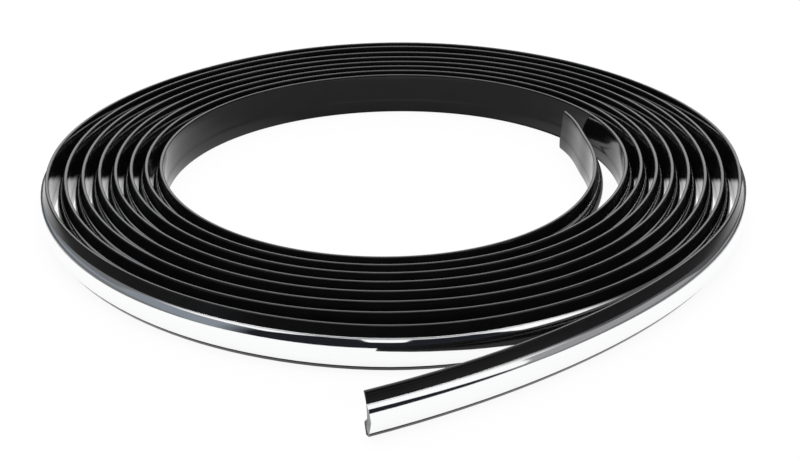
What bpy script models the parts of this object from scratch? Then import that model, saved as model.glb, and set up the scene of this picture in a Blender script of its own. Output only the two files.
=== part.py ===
"""A loose coil of windshield lock strip, standing on its edge.

The stock is one long extruded section: a thin black fin at the top, a bowed
face that carries a bright film, and a smooth back with a low soft swelling.
It is wound clockwise (seen from above) from a free inner end out to a tail
that springs off the coil. Units are metres, +Z is up and the strip rests on
z = 0.
"""
import bpy
import math

MM = 0.001

# The section, millimetres. t is measured outwards from the inner edge of the fin's top.
STRIP_HEIGHT = 16.0
FOOT_INNER = -0.45
FOOT_OUTER = 0.87
LIP_HEIGHT = 2.0
FACE_BULGE = 3.8
FACE_MID_HEIGHT = 6.2
UPPER_REACH = 5.4
UPPER_DROP = 1.0
UPPER_POWER = 3.4
LOWER_REACH = 4.2
LOWER_DROP = 1.6
LOWER_POWER = 2.2
SHOULDER_HEIGHT = 11.5
SHOULDER_TOP = (2.1, 12.27)
FIN_TOP_WIDTH = 1.25
FIN_ROUNDING = 0.3
BACK_SWELLING = -0.7
SWELLING_FOOT = 1.9
SWELLING_TOP = 4.9
LEDGE_TOP = (-0.45, 5.5)
WEB_INNER = (-0.25, 9.0)

# The bright film and the shallow bed that it lies in, millimetres.
FILM_THICKNESS = 0.35
FILM_GAP = 0.3

# The winding, millimetres and degrees, measured on the inner edge of the fin's top.
START_ANGLE = 31.5
START_WINDING = -2.6
TOTAL_WINDING = 3003.7
STEP_ANGLE = 12.0
BOW_STEP_ANGLE = 6.0
BOW_WINDING = 72.0
FIRST_RADIUS = 82.462
PITCH = 5.323
PITCH_GROWTH = 0.086
OVAL = 1.664
OVAL_ANGLE = 63.07
TRILOBE = 0.797
TRILOBE_ANGLE = 37.96
FRONT_SLACK = 5.847
FRONT_SLACK_ANGLE = -86.89
OUTER_OVAL = 2.561
OUTER_OVAL_ANGLE = 88.83
LAST_TURN_SHIFT = 1.093
LAST_TURN_SHIFT_ANGLE = 79.99
LAST_TURN_OVAL = 1.673
LAST_TURN_OVAL_ANGLE = 29.77
LAST_TURN_TRILOBE = 0.621
LAST_TURN_TRILOBE_ANGLE = 65.58
INNER_BOW = 6.771
INNER_BOW_AT = 18.32
INNER_BOW_RISE = 13.29
INNER_BOW_FALL = 37.67
REAR_BULGE = 1.0
REAR_BULGE_AT = 2461.5
REAR_BULGE_WIDTH = 15.76
TAIL_LIFT = 32.869
TAIL_START = 2941.65
TAIL_POWER = 2.847


def lobes(count, size, angle, lobe_angle):
    """A wave with this many lobes round the coil, highest at lobe_angle."""
    return size * math.cos(count * (angle - math.radians(lobe_angle)))


def strip_radius(winding):
    """Radius of the fin's inner edge after this many degrees of winding."""
    turns = winding / 360.0
    angle = math.radians(START_ANGLE - winding)
    looseness = (turns / 8.6) ** 2
    last_turn = (turns / 8.0) ** 10
    radius = FIRST_RADIUS + PITCH * turns + PITCH_GROWTH * turns * turns
    radius += lobes(2, OVAL, angle, OVAL_ANGLE)
    radius += lobes(3, TRILOBE, angle, TRILOBE_ANGLE)
    radius += looseness * lobes(1, FRONT_SLACK, angle, FRONT_SLACK_ANGLE)
    radius += looseness * lobes(2, OUTER_OVAL, angle, OUTER_OVAL_ANGLE)
    radius += last_turn * lobes(1, LAST_TURN_SHIFT, angle, LAST_TURN_SHIFT_ANGLE)
    radius += last_turn * lobes(2, LAST_TURN_OVAL, angle, LAST_TURN_OVAL_ANGLE)
    radius += last_turn * lobes(3, LAST_TURN_TRILOBE, angle, LAST_TURN_TRILOBE_ANGLE)
    bow_width = INNER_BOW_RISE if winding < INNER_BOW_AT else INNER_BOW_FALL
    bow = (winding - INNER_BOW_AT) / bow_width
    radius -= INNER_BOW * math.exp(-0.5 * bow * bow)
    bulge = (winding - REAR_BULGE_AT) / REAR_BULGE_WIDTH
    radius += REAR_BULGE * math.exp(-0.5 * bulge * bulge)
    if winding > TAIL_START:
        radius += TAIL_LIFT * ((winding - TAIL_START) / 60.0) ** TAIL_POWER
    return radius


def winding_path():
    """Points of the fin's inner edge, from the inner free end to the tail."""
    windings = [START_WINDING, 3.0]
    while windings[-1] < BOW_WINDING:
        windings.append(windings[-1] + BOW_STEP_ANGLE)
    while windings[-1] < TOTAL_WINDING - STEP_ANGLE:
        windings.append(windings[-1] + STEP_ANGLE)
    windings.append(TOTAL_WINDING)
    points = []
    for winding in windings:
        angle = math.radians(START_ANGLE - winding)
        radius = strip_radius(winding)
        points.append((radius * math.cos(angle), radius * math.sin(angle)))
    return points


def outward_normals(points):
    """Unit normals in the plane, on the side away from the coil's middle."""
    normals = []
    last = len(points) - 1
    for i in range(len(points)):
        dx = 0.0
        dy = 0.0
        for j, k in ((i - 1, i), (i, i + 1)):
            if j < 0 or k > last:
                continue
            sx = points[k][0] - points[j][0]
            sy = points[k][1] - points[j][1]
            length = math.hypot(sx, sy)
            dx += sx / length
            dy += sy / length
        length = math.hypot(dx, dy)
        normals.append((-dy / length, dx / length))
    return normals


def centre_of_box(points, normals, reach_out, reach_in):
    """Middle of the swept section's plan box."""
    xs = []
    ys = []
    for (x, y), (nx, ny) in zip(points, normals):
        for reach in (reach_out, reach_in):
            xs.append(x + nx * reach)
            ys.append(y + ny * reach)
    return (min(xs) + max(xs)) / 2.0, (min(ys) + max(ys)) / 2.0


def face_point(height):
    """The bowed outer face at this height."""
    if height > FACE_MID_HEIGHT:
        rise = (height - FACE_MID_HEIGHT) / UPPER_REACH
        return FACE_BULGE - UPPER_DROP * rise ** UPPER_POWER, height
    fall = (FACE_MID_HEIGHT - height) / LOWER_REACH
    return FACE_BULGE - LOWER_DROP * fall ** LOWER_POWER, height


def face_line(low, high, count, depth):
    """Points up the face from low to high, set back by depth along its normal."""
    line = []
    for i in range(count):
        height = low + (high - low) * i / (count - 1)
        t0, z0 = face_point(height - 0.05)
        t1, z1 = face_point(height + 0.05)
        length = math.hypot(t1 - t0, z1 - z0)
        t, z = face_point(height)
        line.append((t - depth * (z1 - z0) / length, z + depth * (t1 - t0) / length))
    return line


def body_section():
    """The black profile, from the foot up the face, over the fin, down the back."""
    depth = FILM_THICKNESS + FILM_GAP + 0.08
    bed = face_line(LIP_HEIGHT + 0.1, SHOULDER_HEIGHT, 4, depth)
    section = [(FOOT_INNER, 0.0), (FOOT_OUTER, 0.0), face_point(LIP_HEIGHT)]
    section += bed
    section += [(SHOULDER_TOP[0] - 0.5, SHOULDER_TOP[1] - 0.32)]
    section += [(SHOULDER_TOP[0] - 0.2, SHOULDER_TOP[1] + 0.35)]
    section += [(FIN_TOP_WIDTH, STRIP_HEIGHT - FIN_ROUNDING)]
    section += [(FIN_TOP_WIDTH / 2.0, STRIP_HEIGHT)]
    section += [(0.0, STRIP_HEIGHT - FIN_ROUNDING)]
    section += [WEB_INNER, LEDGE_TOP]
    section += [(BACK_SWELLING, SWELLING_TOP), (BACK_SWELLING, SWELLING_FOOT)]
    return section


def film_section():
    """The bright film, clear of its bed, from the lip up over the shoulder."""
    low = LIP_HEIGHT + FILM_GAP + 0.1
    high = SHOULDER_HEIGHT - 0.1
    outer = face_line(low, high, 5, 0.0)
    inner = face_line(low, high, 5, FILM_THICKNESS)
    shoulder = (SHOULDER_TOP[0], SHOULDER_TOP[1] - 0.02)
    return outer + [shoulder] + inner[::-1]


def remove_scene_objects():
    for old in list(bpy.data.objects):
        bpy.data.objects.remove(old, do_unlink=True)


def make_material(name, colour, roughness, metallic):
    material = bpy.data.materials.new(name)
    material.use_nodes = True
    shader = material.node_tree.nodes["Principled BSDF"]
    shader.inputs["Base Color"].default_value = colour
    shader.inputs["Roughness"].default_value = roughness
    shader.inputs["Metallic"].default_value = metallic
    return material


def make_section_curve(name, section, collection):
    """A closed profile curve, the bevel of a strip; its +X is the inner side."""
    curve = bpy.data.curves.new(name, "CURVE")
    curve.dimensions = "2D"
    curve.fill_mode = "NONE"
    spline = curve.splines.new("POLY")
    spline.points.add(len(section) - 1)
    for point, (t, z) in zip(spline.points, section):
        point.co = (-t * MM, z * MM, 0.0, 1.0)
    spline.use_cyclic_u = True
    guide = bpy.data.objects.new(name, curve)
    guide.hide_render = True
    guide.display_type = "WIRE"
    collection.objects.link(guide)
    return guide


def make_strip(name, points, section_guide, material, collection):
    """The profile swept along the winding, with both ends cut square."""
    curve = bpy.data.curves.new(name, "CURVE")
    curve.dimensions = "3D"
    curve.twist_mode = "Z_UP"
    curve.resolution_u = 1
    curve.render_resolution_u = 0
    curve.bevel_mode = "OBJECT"
    curve.bevel_object = section_guide
    curve.use_fill_caps = True
    spline = curve.splines.new("POLY")
    spline.points.add(len(points) - 1)
    for point, (x, y) in zip(spline.points, points):
        point.co = (x * MM, y * MM, 0.0, 1.0)
    spline.use_smooth = True
    curve.materials.append(material)
    strip = bpy.data.objects.new(name, curve)
    collection.objects.link(strip)
    return strip


remove_scene_objects()

strip_collection = bpy.data.collections.new("windshield_lock_strip")
guide_collection = bpy.data.collections.new("strip_sections")
bpy.context.scene.collection.children.link(strip_collection)
bpy.context.scene.collection.children.link(guide_collection)

black_rubber = make_material("black_strip", (0.012, 0.012, 0.013, 1.0), 0.32, 0.0)
bright_film = make_material("bright_film", (0.82, 0.83, 0.85, 1.0), 0.08, 1.0)

path = winding_path()
sides = outward_normals(path)
shift_x, shift_y = centre_of_box(path, sides, FACE_BULGE, BACK_SWELLING)
path = [(x - shift_x, y - shift_y) for x, y in path]

body_guide = make_section_curve("body_section", body_section(), guide_collection)
film_guide = make_section_curve("film_section", film_section(), guide_collection)
make_strip("strip_body", path, body_guide, black_rubber, strip_collection)
make_strip("bright_face", path, film_guide, bright_film, strip_collection)
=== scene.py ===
import bpy
import bmesh
import math
from mathutils import Matrix, Vector
from mathutils.geometry import tessellate_polygon


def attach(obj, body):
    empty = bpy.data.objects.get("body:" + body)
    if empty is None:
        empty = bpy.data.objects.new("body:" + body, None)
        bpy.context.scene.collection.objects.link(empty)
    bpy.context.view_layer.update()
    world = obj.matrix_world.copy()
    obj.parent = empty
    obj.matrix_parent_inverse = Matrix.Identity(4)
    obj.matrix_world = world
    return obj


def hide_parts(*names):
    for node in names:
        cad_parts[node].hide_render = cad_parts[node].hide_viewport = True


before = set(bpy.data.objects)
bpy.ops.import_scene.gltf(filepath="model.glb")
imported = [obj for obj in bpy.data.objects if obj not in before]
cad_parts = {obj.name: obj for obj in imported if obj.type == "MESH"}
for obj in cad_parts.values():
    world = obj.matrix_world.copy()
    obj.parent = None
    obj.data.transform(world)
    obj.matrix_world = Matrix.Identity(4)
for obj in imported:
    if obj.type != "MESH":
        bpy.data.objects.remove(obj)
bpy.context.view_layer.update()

# The black strip: one continuous extrusion of flexible PVC, thin fin on top, bowed face,
# narrow lip at the foot and a smooth back with a low swelling. It is wound by hand into a
# loose coil that stands on its foot, from the free inner end out to the springing tail.
MM = 0.001

# The winding, in millimetres and degrees, measured on the inner edge of the fin's top.
COIL_MIDDLE = (-1.2532612, 23.7395438)
START_ANGLE = 31.5
START_WINDING = -2.6
TOTAL_WINDING = 3003.7
STEP_ANGLE = 2.5
FIRST_RADIUS = 82.462
PITCH = 5.323
PITCH_GROWTH = 0.086
OUTER_TURN_COUNT = 8.6
LAST_TURN_COUNT = 8.0
TAIL_START = 2941.65
TAIL_LIFT = 32.869
TAIL_LIFT_ANGLE = 60.0
TAIL_POWER = 2.847

# Waves round the coil: how many lobes, their size and the angle where they are highest.
EVERY_TURN_WAVES = ((2, 1.664, 63.07), (3, 0.797, 37.96))
OUTER_TURN_WAVES = ((1, 5.847, -86.89), (2, 2.561, 88.83))
LAST_TURN_WAVES = ((1, 1.093, 79.99), (2, 1.673, 29.77), (3, 0.621, 65.58))

# Short bulges: size, the winding where each is highest, its width before and after that.
BULGES = (
    (-6.771, 18.32, 13.29, 37.67),
    (1.0, 2461.5, 15.76, 15.76),
    (1.6, 2638.0, 12.0, 12.0),
    (-0.85, 2688.0, 16.0, 16.0),
)

# How much closer the rear sits, in millimetres: the power of the turns that each row grows
# with, then its even part, its part with one lobe and its part with two lobes.
REAR_SLACK = (
    (0, 0.738, 0.239, 0.0),
    (1, 0.929, -0.366, 0.0),
    (8, 2.087, 2.941, 5.308),
    (20, 2.437, 1.747, -1.215),
)


def add_waves(waves, angle):
    """The sum of these waves at an angle round the coil."""
    return sum(size * math.cos(lobes * (angle - math.radians(crest))) for lobes, size, crest in waves)


def add_bulges(winding):
    """The sum of the short bulges after so many degrees of winding."""
    total = 0.0
    for size, peak, before, after in BULGES:
        width = before if winding < peak else after
        total += size * math.exp(-0.5 * ((winding - peak) / width) ** 2)
    return total


def rear_slack(turns, angle):
    """How much closer, in millimetres, the rear of each turn sits, most at the outer one."""
    slack = 0.0
    for power, even, one_lobe, two_lobes in REAR_SLACK:
        wave = even + one_lobe * math.cos(angle) + two_lobes * math.cos(2.0 * angle)
        slack += turns ** power * wave
    return slack * max(0.0, math.sin(angle)) ** 2


def winding_radius(winding):
    """Radius of the fin's inner edge in millimetres after so many degrees of winding."""
    turns = winding / 360.0
    angle = math.radians(START_ANGLE - winding)
    radius = FIRST_RADIUS + PITCH * turns + PITCH_GROWTH * turns * turns
    radius += add_waves(EVERY_TURN_WAVES, angle)
    radius += (turns / OUTER_TURN_COUNT) ** 2 * add_waves(OUTER_TURN_WAVES, angle)
    radius += (turns / LAST_TURN_COUNT) ** 10 * add_waves(LAST_TURN_WAVES, angle)
    radius += add_bulges(winding)
    if winding > TAIL_START:
        radius += TAIL_LIFT * ((winding - TAIL_START) / TAIL_LIFT_ANGLE) ** TAIL_POWER
    return radius - rear_slack(turns / LAST_TURN_COUNT, angle)


def lay_winding():
    """Points, outward normals and running length of the strip's fin, in millimetres."""
    span = TOTAL_WINDING - START_WINDING
    count = int(round(span / STEP_ANGLE))
    points = []
    for i in range(count + 1):
        winding = START_WINDING + span * i / count
        angle = math.radians(START_ANGLE - winding)
        radius = winding_radius(winding)
        points.append((COIL_MIDDLE[0] + radius * math.cos(angle),
                       COIL_MIDDLE[1] + radius * math.sin(angle)))
    normals = []
    lengths = [0.0]
    for i in range(count + 1):
        before = points[max(i - 1, 0)]
        after = points[min(i + 1, count)]
        dx = after[0] - before[0]
        dy = after[1] - before[1]
        size = math.hypot(dx, dy)
        normals.append((-dy / size, dx / size))
        if i > 0:
            lengths.append(lengths[-1] + math.dist(points[i - 1], points[i]))
    return points, normals, lengths


# The section, in millimetres: t runs outwards from the inner edge of the fin's top.
STRIP_HEIGHT = 16.0
FOOT_INNER = -0.45
FOOT_OUTER = 0.87
FACE_BULGE = 4.1
FACE_MID_HEIGHT = 6.2
LOWER_REACH = 4.2
LOWER_DROP = 1.88
LOWER_POWER = 2.2
LIP_TOP = (1.87, 1.5)
BED_FOOT = 1.6
SHOULDER_HEIGHT = 11.55
SHOULDER_RADIUS = 3.4
SHOULDER_START = math.atan(0.677)
SHOULDER_END = math.radians(50.0)
SHOULDER_STEP = (0.055, -0.03)
FIN_WIDTH = 1.2
FIN_ROUNDING = 0.56
FILM_DEPTH = 0.12

# How much the upper face leans inwards at each height; between these the lean grows evenly.
FACE_LEANS = (
    (6.2, 0.0), (8.0, 0.08), (9.16, 0.222), (9.5, 0.277), (10.2, 0.337), (10.58, 0.42), (11.6, 0.69),
)


def bowed_face(height, depth=0.0):
    """The bowed outer face at a height, set back by depth along its own normal."""
    if height > FACE_MID_HEIGHT:
        t = FACE_BULGE
        slope = 0.0
        for (low, lean_low), (high, lean_high) in zip(FACE_LEANS, FACE_LEANS[1:]):
            if height > low:
                top = min(height, high)
                lean_top = lean_low + (lean_high - lean_low) * (top - low) / (high - low)
                t -= (lean_low + lean_top) / 2.0 * (top - low)
                slope = -lean_top
    else:
        fall = (FACE_MID_HEIGHT - height) / LOWER_REACH
        t = FACE_BULGE - LOWER_DROP * fall ** LOWER_POWER
        slope = LOWER_DROP * LOWER_POWER / LOWER_REACH * fall ** (LOWER_POWER - 1.0)
    size = math.hypot(slope, 1.0)
    return t - depth / size, height + depth * slope / size


def face_line(low, high, steps, depth=0.0):
    """Points up the face from low to high, set back by depth."""
    return [bowed_face(low + (high - low) * i / steps, depth) for i in range(steps + 1)]


def shoulder_arc(depth, steps):
    """The rounded shoulder that carries the face over to the root of the fin."""
    start_t, start_z = bowed_face(SHOULDER_HEIGHT)
    middle_t = start_t - SHOULDER_RADIUS * math.cos(SHOULDER_START)
    middle_z = start_z - SHOULDER_RADIUS * math.sin(SHOULDER_START)
    arc = []
    for i in range(1, steps + 1):
        angle = SHOULDER_START + (SHOULDER_END - SHOULDER_START) * i / steps
        arc.append((middle_t + (SHOULDER_RADIUS - depth) * math.cos(angle),
                    middle_z + (SHOULDER_RADIUS - depth) * math.sin(angle)))
    return arc


def soften_corners(corners):
    """An outline from corners (t, z, rounding), each rounding a short arc of five points."""
    outline = []
    for i, (t, z, rounding) in enumerate(corners):
        if rounding <= 0.0:
            outline.append((t, z))
            continue
        here = Vector((t, z))
        back = Vector(corners[i - 1][:2]) - here
        ahead = Vector(corners[(i + 1) % len(corners)][:2]) - here
        reach = min(rounding, back.length * 0.45, ahead.length * 0.45)
        first = here + back.normalized() * reach
        last = here + ahead.normalized() * reach
        for k in range(5):
            u = k / 4.0
            spot = first * (1 - u) ** 2 + here * 2 * u * (1 - u) + last * u ** 2
            outline.append((spot.x, spot.y))
    return outline


def strip_outline():
    """The whole section: foot, lip, bed of the film, shoulder, fin and the back again."""
    arc_end = shoulder_arc(0.0, 1)[-1]
    root = (arc_end[0] + SHOULDER_STEP[0], arc_end[1] + SHOULDER_STEP[1])
    bed = face_line(BED_FOOT, SHOULDER_HEIGHT, 14, FILM_DEPTH) + shoulder_arc(FILM_DEPTH, 4)
    corners = [(FOOT_INNER, 0.0, 0.25), (FOOT_OUTER, 0.0, 0.2), LIP_TOP + (0.08,)]
    corners += [(t, z, 0.0) for t, z in bed]
    # The fin's outer face has points near its ends, so that it shades as one flat face.
    for share in (0.0, 0.03, 0.1, 0.5, 0.8):
        corners.append((root[0] + (FIN_WIDTH - root[0]) * share,
                        root[1] + (STRIP_HEIGHT - root[1]) * share, 0.0))
    corners += [(FIN_WIDTH, STRIP_HEIGHT, FIN_ROUNDING), (0.0, STRIP_HEIGHT, FIN_ROUNDING)]
    corners += [(-0.12, 11.2, 1.6), (-0.35, 8.0, 1.4), (-0.5, 5.8, 0.6)]
    corners += [(-0.7, 4.6, 0.8), (-0.72, 3.0, 0.8), (-0.62, 1.3, 0.6)]
    return soften_corners(corners)


# The two cuts. The inner one leans evenly. At the tail the knife left an uneven face: how
# far it runs ahead of a square cut at each height, along the back and along the front.
INNER_CUT_LEAN = -1.2
BACK_CUT = (
    (0.0, -0.45), (4.6, 0.05), (5.1, -0.1), (5.4, -0.78), (8.6, -0.62), (12.3, -0.25), (16.0, 0.6),
)
FRONT_CUT = (
    (0.0, -0.7), (1.5, -0.36), (2.6, 0.17), (4.9, 0.36), (6.5, 0.19), (8.6, 0.47), (10.8, 0.62),
    (12.3, 0.88), (16.0, 0.75),
)
STRIP_BACK = -0.5
FIN_FOOT = 12.0
FIN_FOOT_WIDTH = 2.3
FIN_TAPER = 0.28


def read_off(table, height):
    """The value at a height in a short table of (height, value) marks."""
    for (low, start), (high, end) in zip(table, table[1:]):
        if height <= high:
            return start + (end - start) * max(0.0, height - low) / (high - low)
    return table[-1][1]


def tail_cut_lean(t, height):
    """How far the tail's cut runs ahead of a square one at a spot of the section."""
    if height < FIN_FOOT:
        front = bowed_face(height)[0]
    else:
        front = FIN_FOOT_WIDTH - FIN_TAPER * (height - FIN_FOOT)
    share = min(1.0, max(0.0, (t - STRIP_BACK) / (front - STRIP_BACK)))
    back_lean = read_off(BACK_CUT, height)
    return back_lean + (read_off(FRONT_CUT, height) - back_lean) * share


def draw_rings(shape, outline, points, normals):
    """The outline's vertices at each point of the winding, leaning at both cuts."""
    rings = []
    for i, ((x, y), (nx, ny)) in enumerate(zip(points, normals)):
        ring = []
        for t, z in outline:
            lean = 0.0
            if i == 0:
                lean = INNER_CUT_LEAN * (1.0 - z / STRIP_HEIGHT)
            elif i == len(points) - 1:
                lean = tail_cut_lean(t, z)
            ring.append(shape.verts.new(((x + nx * t + ny * lean) * MM,
                                         (y + ny * t - nx * lean) * MM, z * MM)))
        rings.append(ring)
    return rings


def draw_strip(name, outline, face_material, cut_material):
    """The outline swept along the winding, with a cut face at each end and a length map."""
    points, normals, lengths = lay_winding()
    mesh = bpy.data.meshes.new(name)
    shape = bmesh.new()
    measure = shape.loops.layers.uv.new("length_map")
    count = len(outline)
    girth = [0.0]
    for i in range(count):
        girth.append(girth[-1] + math.dist(outline[i], outline[(i + 1) % count]))
    rings = draw_rings(shape, outline, points, normals)
    for i in range(len(rings) - 1):
        for k in range(count):
            j = (k + 1) % count
            face = shape.faces.new((rings[i][k], rings[i + 1][k], rings[i + 1][j], rings[i][j]))
            face.smooth = True
            spots = ((i, k), (i + 1, k), (i + 1, k + 1), (i, k + 1))
            for loop, (a, b) in zip(face.loops, spots):
                loop[measure].uv = (lengths[a] * MM, girth[b] * MM)
    pieces = tessellate_polygon([[Vector((t, z, 0.0)) for t, z in outline]])
    for ring in (rings[0], rings[-1]):
        for k in range(count):
            shape.edges.get((ring[k], ring[(k + 1) % count])).smooth = False
        for piece in pieces:
            cut = shape.faces.new([ring[k] for k in piece])
            cut.material_index = 1
            for loop, k in zip(cut.loops, piece):
                loop[measure].uv = (outline[k][0] * MM, outline[k][1] * MM)
    bmesh.ops.recalc_face_normals(shape, faces=shape.faces)
    shape.normal_update()
    shape.to_mesh(mesh)
    shape.free()
    mesh.materials.append(face_material)
    mesh.materials.append(cut_material)
    strip = bpy.data.objects.new(name, mesh)
    bpy.context.scene.collection.objects.link(strip)
    return strip


def new_material(name):
    """A material with its node tree and its Principled shader."""
    material = bpy.data.materials.new(name)
    material.use_nodes = True
    return material, material.node_tree, material.node_tree.nodes["Principled BSDF"]


def feed(tree, socket, value):
    """Sets a socket to a number or colour, or links another node's socket to it."""
    if isinstance(value, bpy.types.NodeSocket):
        tree.links.new(value, socket)
    elif isinstance(value, tuple) and len(value) == 3 and socket.type == "RGBA":
        socket.default_value = value + (1.0,)
    else:
        socket.default_value = value


def read_map(tree):
    """The strip's own map: along its length, and round its section."""
    node = tree.nodes.new("ShaderNodeUVMap")
    node.uv_map = "length_map"
    return node.outputs["UV"]


def stretch(tree, vector, scale):
    """A vector scaled by its own amount on each axis."""
    node = tree.nodes.new("ShaderNodeMapping")
    node.inputs["Scale"].default_value = scale
    feed(tree, node.inputs["Vector"], vector)
    return node.outputs["Vector"]


def add_noise(tree, vector, scale, detail):
    """Soft noise on a vector."""
    node = tree.nodes.new("ShaderNodeTexNoise")
    node.inputs["Scale"].default_value = scale
    node.inputs["Detail"].default_value = detail
    feed(tree, node.inputs["Vector"], vector)
    return node.outputs["Fac"]


def add_ramp(tree, value, stops):
    """A colour ramp with these (place, colour) stops."""
    node = tree.nodes.new("ShaderNodeValToRGB")
    elements = node.color_ramp.elements
    while len(elements) < len(stops):
        elements.new(0.5)
    for element, (place, colour) in zip(elements, stops):
        element.position = place
    for element, (place, colour) in zip(elements, stops):
        element.color = colour + (1.0,)
    feed(tree, node.inputs["Fac"], value)
    return node.outputs["Color"]


def add_range(tree, value, start, end, ends=(0.0, 1.0), soft=False):
    """A value carried from start..end over to the two ends, softly where that is asked."""
    node = tree.nodes.new("ShaderNodeMapRange")
    if soft:
        node.interpolation_type = "SMOOTHSTEP"
    node.inputs["From Min"].default_value = start
    node.inputs["From Max"].default_value = end
    node.inputs["To Min"].default_value = ends[0]
    node.inputs["To Max"].default_value = ends[1]
    feed(tree, node.inputs["Value"], value)
    return node.outputs["Result"]


def add_math(tree, operation, *terms):
    """A sum, product or the like of sockets and numbers."""
    node = tree.nodes.new("ShaderNodeMath")
    node.operation = operation
    for socket, term in zip(node.inputs, terms):
        feed(tree, socket, term)
    return node.outputs["Value"]


def mix_colours(tree, share, first, second):
    """The first colour going over to the second as the share grows."""
    node = tree.nodes.new("ShaderNodeMix")
    node.data_type = "RGBA"
    feed(tree, node.inputs["Factor"], share)
    feed(tree, node.inputs["A"], first)
    feed(tree, node.inputs["B"], second)
    return node.outputs["Result"]


def add_bump(tree, shader, height, strength, distance):
    """Small relief on a shader's surface."""
    node = tree.nodes.new("ShaderNodeBump")
    node.inputs["Strength"].default_value = strength
    node.inputs["Distance"].default_value = distance
    feed(tree, node.inputs["Height"], height)
    feed(tree, shader.inputs["Normal"], node.outputs["Normal"])


# The colours of the black PVC and of its cut, and the metres on the section between which
# the cut turns black: up to the fin, and as painted shade down and back on the step that faces away.
PVC_IOR = 1.36
PVC_DARK = (0.004, 0.004, 0.0042)
PVC_LIGHT = (0.007, 0.007, 0.0074)
CUT_DARK_GREY = (0.2, 0.2, 0.203)
CUT_LIGHT_GREY = (0.38, 0.38, 0.385)
CUT_BLACK_AND_SHADE = (0.008, 0.008, 0.0085)
CUT_FIN = (0.0114, 0.0126)
CUT_SHADE_STEP_TOP = (0.0044, 0.0054)
CUT_SHADE_STEP_FRONT = (0.0003, 0.0012)


def make_black_pvc():
    """Glossy black PVC with fine die lines along its length and a faint bloom."""
    material, tree, shader = new_material("black_pvc")
    shader.inputs["IOR"].default_value = PVC_IOR
    strip_map = read_map(tree)
    die_lines = add_noise(tree, stretch(tree, strip_map, (6.0, 2600.0, 1.0)), 1.0, 3.0)
    bloom = add_noise(tree, stretch(tree, strip_map, (90.0, 160.0, 1.0)), 1.0, 4.0)
    colour = add_ramp(tree, bloom, ((0.3, PVC_DARK), (0.75, PVC_LIGHT)))
    feed(tree, shader.inputs["Base Color"], colour)
    feed(tree, shader.inputs["Roughness"], add_range(tree, die_lines, 0.0, 1.0, (0.07, 0.12)))
    add_bump(tree, shader, die_lines, 0.12, 0.00004)
    return material


def make_cut_pvc():
    """The knife's matt grey face, black at the fin, with painted shade where its step turns away."""
    material, tree, shader = new_material("cut_pvc")
    shader.inputs["Roughness"].default_value = 0.55
    place = tree.nodes.new("ShaderNodeTexCoord")
    grain = add_noise(tree, place.outputs["Object"], 2500.0, 5.0)
    grey = add_ramp(tree, grain, ((0.35, CUT_DARK_GREY), (0.7, CUT_LIGHT_GREY)))
    section = tree.nodes.new("ShaderNodeSeparateXYZ")
    feed(tree, section.inputs["Vector"], read_map(tree))
    fin = add_range(tree, section.outputs["Y"], *CUT_FIN)
    # Painted shade on the step that faces away: low on the section and near its back the cut turns
    # black, as it does at the fin.
    low = add_range(tree, section.outputs["Y"], *CUT_SHADE_STEP_TOP, (1.0, 0.0))
    back = add_range(tree, section.outputs["X"], *CUT_SHADE_STEP_FRONT, (1.0, 0.0))
    dark = add_math(tree, "MAXIMUM", fin, add_math(tree, "MULTIPLY", low, back))
    feed(tree, shader.inputs["Base Color"], mix_colours(tree, dark, grey, CUT_BLACK_AND_SHADE))
    add_bump(tree, shader, grain, 0.5, 0.0001)
    return material


black_strip = draw_strip("black_strip", strip_outline(), make_black_pvc(), make_cut_pvc())

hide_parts("strip_body")
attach(black_strip, "root")

# The bright face: a metallised film bonded hot to the bowed face as the strip leaves the
# die. It runs the whole length, from just above the lip over the shoulder to the fin's
# root, and is cut off flush with the strip at both ends.
FILM_THICKNESS = 0.096
FILM_COARSE_TOP = 7.45
FILM_FINE_FOOT = 7.8
FILM_COLOUR = (0.965, 0.968, 0.975)


def film_outline():
    """The film's section: its outer side with close points at the top, then its inner side."""
    outer = face_line(BED_FOOT, FILM_COARSE_TOP, 13)
    outer += face_line(FILM_FINE_FOOT, SHOULDER_HEIGHT, 15)
    outer += shoulder_arc(0.0, 7)
    inner = face_line(BED_FOOT, SHOULDER_HEIGHT, 6, FILM_THICKNESS)
    inner += shoulder_arc(FILM_THICKNESS, 3)
    return outer + inner[::-1]


def make_mirror_film():
    """A metallised film, almost a mirror, with long soft waves from the die."""
    material, tree, shader = new_material("mirror_film")
    feed(tree, shader.inputs["Base Color"], FILM_COLOUR)
    shader.inputs["Metallic"].default_value = 1.0
    ripple = add_noise(tree, stretch(tree, read_map(tree), (14.0, 420.0, 1.0)), 1.0, 2.0)
    feed(tree, shader.inputs["Roughness"], add_range(tree, ripple, 0.0, 1.0, (0.03, 0.09)))
    add_bump(tree, shader, ripple, 0.06, 0.0002)
    return material


mirror_film = make_mirror_film()
bright_film = draw_strip("bright_film", film_outline(), mirror_film, mirror_film)

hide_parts("bright_face")
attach(bright_film, "root")

# The white sheet under the coil, as wide as the view. What the gloss mirrors of it is
# bright near the coil, and carries painted shade behind a line across the coil, in the rear
# middle of the bore and out at both sides: a painted shadow that only the reflections show.
SHEET_SIZE = 6.0
SHEET_DROP = -0.0002
SHEET_WHITE = (0.9, 0.9, 0.9)
MIRRORED_PAINTED_SHADE = (0.07, 0.07, 0.07)
GLOW_SHARE = 0.93
# Where the painted shade on the sheet lies: its line across the coil, the bore's edge, the bore's
# middle and both sides.
FAR_LINE = (0.037, 0.043)
BORE_EDGE = (0.0865, 0.0885)
BORE_SIDES = (0.03, 0.065)
BORE_MIDDLE_SHARE = 0.35
SIDE_LINE = (0.14, 0.175)
SIDE_DARKENING = 0.95
SIDE_SLANT = 1.2
SIDE_SLANT_LINE = (0.08, 0.13)


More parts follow.
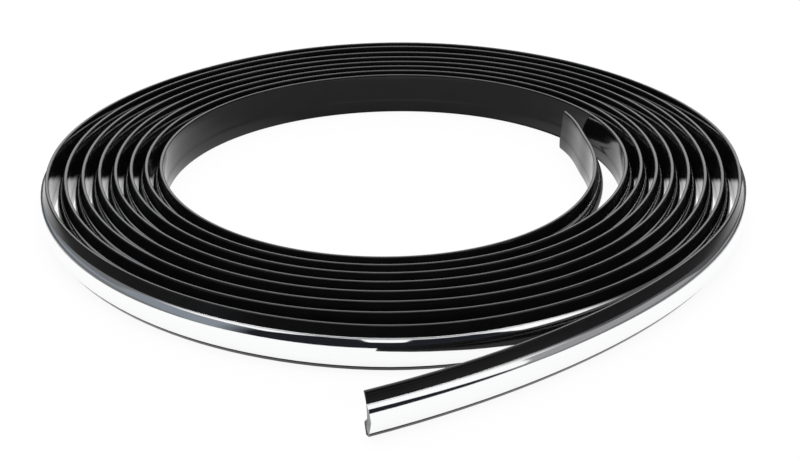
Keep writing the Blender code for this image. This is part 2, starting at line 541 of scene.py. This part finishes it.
def painted_mirror_light(tree, place):
    """How bright the sheet looks in the gloss at a spot, from 0 to 1, with its painted shade."""
    split = tree.nodes.new("ShaderNodeSeparateXYZ")
    feed(tree, split.inputs["Vector"], place)
    across = add_math(tree, "ABSOLUTE", split.outputs["X"])
    near = add_range(tree, split.outputs["Y"], *FAR_LINE, (1.0, 0.0), soft=True)
    gap = tree.nodes.new("ShaderNodeVectorMath")
    gap.operation = "DISTANCE"
    gap.inputs[1].default_value = (COIL_MIDDLE[0] * MM, COIL_MIDDLE[1] * MM, 0.0)
    feed(tree, gap.inputs[0], place)
    in_bore = add_range(tree, gap.outputs["Value"], *BORE_EDGE, (1.0, 0.0), soft=True)
    painted_bore_light = add_range(tree, across, *BORE_SIDES, (BORE_MIDDLE_SHARE, 1.0), soft=True)
    painted_lit = add_math(tree, "MAXIMUM", near, add_math(tree, "MULTIPLY", in_bore, painted_bore_light))
    beside = add_range(tree, across, *SIDE_LINE, (0.0, SIDE_DARKENING), soft=True)
    slant = add_math(tree, "MULTIPLY_ADD", across, SIDE_SLANT, split.outputs["Y"])
    behind = add_range(tree, slant, *SIDE_SLANT_LINE, soft=True)
    side_kept = add_math(tree, "SUBTRACT", 1.0, add_math(tree, "MULTIPLY", beside, behind))
    return add_math(tree, "MULTIPLY", painted_lit, side_kept)


def make_sheet_white():
    """White to the camera, and in the gloss with the painted shade of each spot."""
    material, tree, shader = new_material("sheet_white")
    tree.nodes.remove(shader)
    rays = tree.nodes.new("ShaderNodeLightPath")
    place = tree.nodes.new("ShaderNodeTexCoord")
    share = painted_mirror_light(tree, place.outputs["Object"])
    glossy = rays.outputs["Is Glossy Ray"]
    # Painted shade: in the gloss the sheet's colour dims to a dark grey and its glow fades where the
    # painted shade lies.
    dark = add_math(tree, "MULTIPLY", glossy, add_math(tree, "SUBTRACT", 1.0, share))
    diffuse = tree.nodes.new("ShaderNodeBsdfDiffuse")
    feed(tree, diffuse.inputs["Color"], mix_colours(tree, dark, SHEET_WHITE, MIRRORED_PAINTED_SHADE))
    glow = tree.nodes.new("ShaderNodeEmission")
    glow.inputs["Strength"].default_value = 1.0
    mirrored = add_math(tree, "MULTIPLY", glossy, share)
    seen = add_math(tree, "MAXIMUM", rays.outputs["Is Camera Ray"], mirrored)
    seen = add_math(tree, "MAXIMUM", seen, rays.outputs["Is Transmission Ray"])
    surface = tree.nodes.new("ShaderNodeMixShader")
    feed(tree, surface.inputs["Fac"], add_math(tree, "MULTIPLY", seen, GLOW_SHARE))
    feed(tree, surface.inputs[1], diffuse.outputs["BSDF"])
    feed(tree, surface.inputs[2], glow.outputs["Emission"])
    feed(tree, tree.nodes["Material Output"].inputs["Surface"], surface.outputs["Shader"])
    return material


sheet_mesh = bpy.data.meshes.new("white_sheet")
sheet_shape = bmesh.new()
bmesh.ops.create_grid(sheet_shape, x_segments=1, y_segments=1, size=SHEET_SIZE)
sheet_shape.to_mesh(sheet_mesh)
sheet_shape.free()
sheet_mesh.materials.append(make_sheet_white())
white_sheet = bpy.data.objects.new("white_sheet", sheet_mesh)
white_sheet.location = (0.0, 0.0, SHEET_DROP)
bpy.context.scene.collection.objects.link(white_sheet)

# The room around the sheet. The film and the glossy black mirror it: dark walls behind the
# camera and to the left, grey ones to the right, a white one at the rear, a dim ceiling
# and one wide white lamp in front. To the camera and to matt surfaces it is plain white.
WALLS = (
    (0.0, (0.23, 0.255, 0.29)), (0.095, (0.23, 0.255, 0.29)), (0.125, (0.012, 0.013, 0.018)),
    (0.36, (0.012, 0.013, 0.018)), (0.425, (0.014, 0.015, 0.02)), (0.44, (0.03, 0.03, 0.035)),
    (0.455, (0.3, 0.3, 0.31)), (0.56, (0.3, 0.3, 0.31)), (0.66, (0.45, 0.45, 0.46)),
    (0.70, (1.0, 1.0, 1.0)), (0.80, (1.0, 1.0, 1.0)), (0.86, (0.23, 0.255, 0.29)),
)
CEILING_EDGE = (0.44, 0.47)
CEILING_LEAN = 0.06
LOW_CORNER_BEARINGS = (0.372, 0.444)
LOW_CORNER_HEIGHTS = (-0.0432, 0.3418)
LAMP_GAP_HEIGHT = -0.36
LAMP_GAPS = (
    (0.13, 0.0), (0.165, 0.7), (0.215, 0.7), (0.228, 0.0), (0.268, 0.0), (0.28, 0.7),
    (0.36, 0.7), (0.385, 0.0), (0.45, 0.0), (0.458, 1.0), (0.54, 1.0), (0.56, 0.0),
)
CEILING_LEFT = (0.16, 0.165, 0.175)
CEILING_RIGHT = (0.08, 0.08, 0.085)
CEILING_SPAN = (0.1, 0.7)
LAMP_TOP = (0.66, 0.94)
LAMP_REAR = (0.1, -0.3)
MATT_STRENGTH = 0.6


def make_background(tree, colour, strength=1.0):
    """A background of one colour."""
    node = tree.nodes.new("ShaderNodeBackground")
    feed(tree, node.inputs["Color"], colour)
    node.inputs["Strength"].default_value = strength
    return node.outputs["Background"]


def mix_backgrounds(tree, share, first, second):
    """The first background, and the second where the share is 1."""
    node = tree.nodes.new("ShaderNodeMixShader")
    feed(tree, node.inputs["Fac"], share)
    feed(tree, node.inputs[1], first)
    feed(tree, node.inputs[2], second)
    return node.outputs["Shader"]


def mirrored_room(tree):
    """What the gloss sees in each direction."""
    direction = tree.nodes.new("ShaderNodeTexCoord")
    split = tree.nodes.new("ShaderNodeSeparateXYZ")
    feed(tree, split.inputs["Vector"], direction.outputs["Generated"])
    x = split.outputs["X"]
    y = split.outputs["Y"]
    z = split.outputs["Z"]
    bearing = add_range(tree, add_math(tree, "ARCTAN2", y, x), -math.pi, math.pi)
    height = add_math(tree, "MULTIPLY_ADD", x, CEILING_LEAN, z)
    low_corner = add_range(tree, bearing, *LOW_CORNER_BEARINGS, LOW_CORNER_HEIGHTS)
    height = add_math(tree, "ADD", height, low_corner)
    gaps = add_ramp(tree, bearing, [(place, (share,) * 3) for place, share in LAMP_GAPS])
    height = add_math(tree, "MULTIPLY_ADD", gaps, LAMP_GAP_HEIGHT, height)
    ceiling = add_range(tree, height, *CEILING_EDGE, soft=True)
    lamp_end = add_range(tree, z, *LAMP_TOP, (1.0, 0.0), soft=True)
    lamp_side = add_range(tree, y, *LAMP_REAR, soft=True)
    lamp = add_math(tree, "MULTIPLY", lamp_end, lamp_side)
    to_right = add_range(tree, x, *CEILING_SPAN)
    above = mix_colours(tree, to_right, CEILING_LEFT, CEILING_RIGHT)
    above = mix_colours(tree, lamp, above, (1.0, 1.0, 1.0))
    return mix_colours(tree, ceiling, add_ramp(tree, bearing, WALLS), above)


room = bpy.data.worlds.new("studio_room")
bpy.context.scene.world = room
room.use_nodes = True
room_tree = room.node_tree
room_tree.nodes.remove(room_tree.nodes["Background"])
room_rays = room_tree.nodes.new("ShaderNodeLightPath")
mirrored_light = make_background(room_tree, mirrored_room(room_tree))
matt_light = make_background(room_tree, (1.0, 1.0, 1.0), MATT_STRENGTH)
backdrop = make_background(room_tree, (1.0, 1.0, 1.0))
light = mix_backgrounds(room_tree, room_rays.outputs["Is Glossy Ray"], matt_light, mirrored_light)
light = mix_backgrounds(room_tree, room_rays.outputs["Is Camera Ray"], light, backdrop)
feed(room_tree, room_tree.nodes["World Output"].inputs["Surface"], light)


def hang_softbox(name, width, depth, watts, place, tilt=0.0):
    """A soft lamp that the camera doesn't see, facing down or tilted by some degrees."""
    lamp = bpy.data.lights.new(name, "AREA")
    lamp.shape = "RECTANGLE"
    lamp.size = width
    lamp.size_y = depth
    lamp.energy = watts
    softbox = bpy.data.objects.new(name, lamp)
    softbox.location = place
    softbox.rotation_euler = (math.radians(tilt), 0.0, 0.0)
    softbox.visible_camera = False
    bpy.context.scene.collection.objects.link(softbox)


hang_softbox("overhead_softbox", 1.6, 1.2, 14.0, (0.0, 0.15, 1.5))
hang_softbox("rear_softbox", 2.0, 0.9, 13.0, (0.0, 1.7, 0.95), -61.0)

# The camera: low in front of the tail, with a long lens, as the photograph was taken. It
# looks down by 25 degrees at the middle of the part and is rolled by a small angle.
LENS = 87.32
SENSOR_WIDTH = 36.0
RISE = math.radians(24.987)
ROLL = math.radians(0.144)
DISTANCE = 0.70456
AIM = Vector((0.002011, -0.006900, 0.0))
NEAR_LIMIT = 0.01

side = Vector((1.0, 0.0, 0.0))
up = Vector((0.0, math.sin(RISE), math.cos(RISE)))
ahead = Vector((0.0, math.cos(RISE), -math.sin(RISE)))
turned_side = side * math.cos(ROLL) + up * math.sin(ROLL)
turned_up = up * math.cos(ROLL) - side * math.sin(ROLL)
stand = Matrix((turned_side, turned_up, -ahead)).transposed().to_4x4()
stand.translation = AIM - ahead * DISTANCE
lens = bpy.data.cameras.new("photo_camera")
lens.lens = LENS
lens.sensor_width = SENSOR_WIDTH
lens.sensor_fit = "HORIZONTAL"
lens.clip_start = NEAR_LIMIT
photo_camera = bpy.data.objects.new("photo_camera", lens)
photo_camera.matrix_world = stand
bpy.context.scene.collection.objects.link(photo_camera)
bpy.context.scene.camera = photo_camera
bpy.context.scene.view_settings.view_transform = "Standard"
